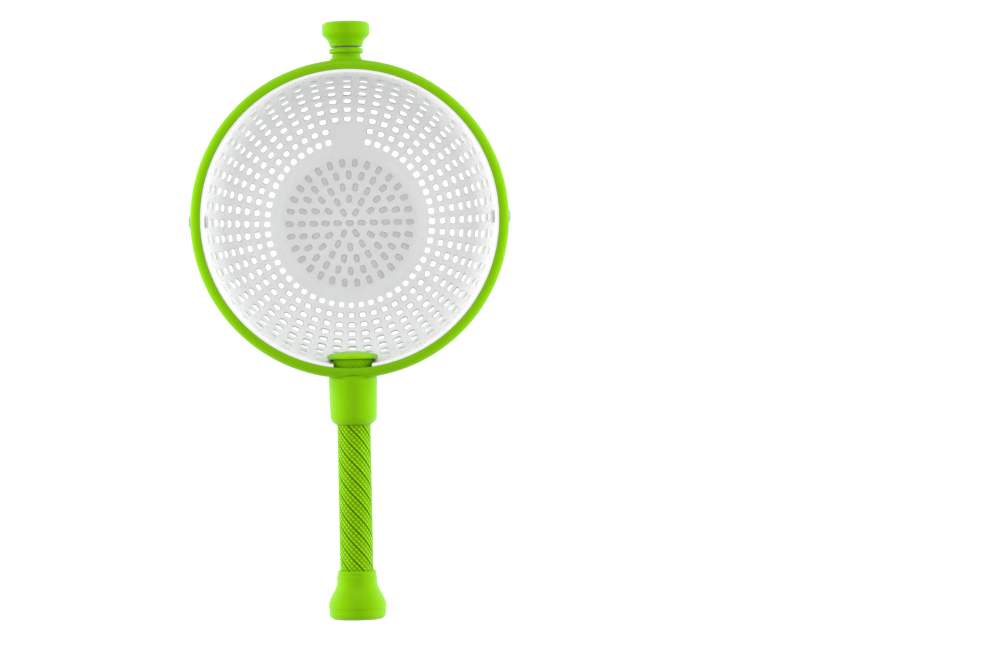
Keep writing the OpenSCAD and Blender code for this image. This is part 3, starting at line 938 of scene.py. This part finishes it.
def stage_floor():
    """A wide pale floor that the foot ring stands on."""
    half = 4.0
    corners = [(-half, -half, 0), (half, -half, 0), (half, half, 0), (-half, half, 0)]
    mesh = bpy.data.meshes.new("floor")
    mesh.from_pydata(corners, [], [(0, 1, 2, 3)])
    floor = bpy.data.objects.new("floor", mesh)
    bpy.context.scene.collection.objects.link(floor)
    n = Nodes("pale_floor")
    pale = n.mix(n.noise(3, 2), (0.93, 0.93, 0.93), (0.91, 0.91, 0.91))
    n.link(pale, n.shader.inputs["Base Color"])
    n.set(Roughness=0.6, Emission_Strength=0.15)
    n.shader.inputs["Emission Color"].default_value = (1, 1, 1, 1)
    mesh.materials.append(n.material)


def softbox(name, place, target, size, power):
    """A rectangular light that faces its target."""
    light = bpy.data.lights.new(name, "AREA")
    light.shape, light.size, light.size_y, light.energy = "RECTANGLE", size[0], size[1], power
    lamp = bpy.data.objects.new(name, light)
    lamp.location = place
    lamp.rotation_euler = (Vector(target) - Vector(place)).to_track_quat("-Z", "Y").to_euler()
    bpy.context.scene.collection.objects.link(lamp)
    return lamp


def soft_room():
    """A room that is bright overhead and dim near the horizon."""
    world = bpy.data.worlds.new("soft_room")
    world.use_nodes = True
    tree = world.node_tree
    place = tree.nodes.new("ShaderNodeTexCoord")
    split = tree.nodes.new("ShaderNodeSeparateXYZ")
    strength = tree.nodes.new("ShaderNodeMapRange")
    strength.inputs["To Min"].default_value = 0.12
    strength.inputs["To Max"].default_value = 0.96
    tree.links.new(place.outputs["Generated"], split.inputs["Vector"])
    tree.links.new(split.outputs["Z"], strength.inputs["Value"])
    tree.links.new(strength.outputs["Result"], tree.nodes["Background"].inputs["Strength"])
    tree.nodes["Background"].inputs["Color"].default_value = (1, 1, 1, 1)
    bpy.context.scene.world = world


def lighting():
    """Two low softboxes, one on each side, a weak one behind the foot, and a soft room above."""
    middle = (0, -0.06, 0.06)
    for side in (-1, 1):
        lamp = softbox("side_light", (side * 1.2, -0.06, 0.24), middle, (1.5, 0.36), 18)
        lamp.visible_glossy = False
    softbox("back_light", (0, 1.6, 0.8), middle, (1.0, 0.5), 7)
    soft_room()


def camera():
    """Straight down onto the rim plane, the handle pointing to the bottom of the picture."""
    view_width, distance, sensor = 0.6679, 2.2, 36.0
    data = bpy.data.cameras.new("camera")
    data.sensor_width = sensor
    data.lens = sensor * distance / view_width
    data.shift_x = 0.1445
    data.clip_end = 20
    cam = bpy.data.objects.new("camera", data)
    cam.location = (0, -0.0752, RIM_Z * MM + distance)
    cam.rotation_euler = (0, 0, math.radians(-1.2))
    bpy.context.scene.collection.objects.link(cam)
    bpy.context.scene.camera = cam


stage_floor()
lighting()
camera()
bpy.context.scene.view_settings.view_transform = "Standard"
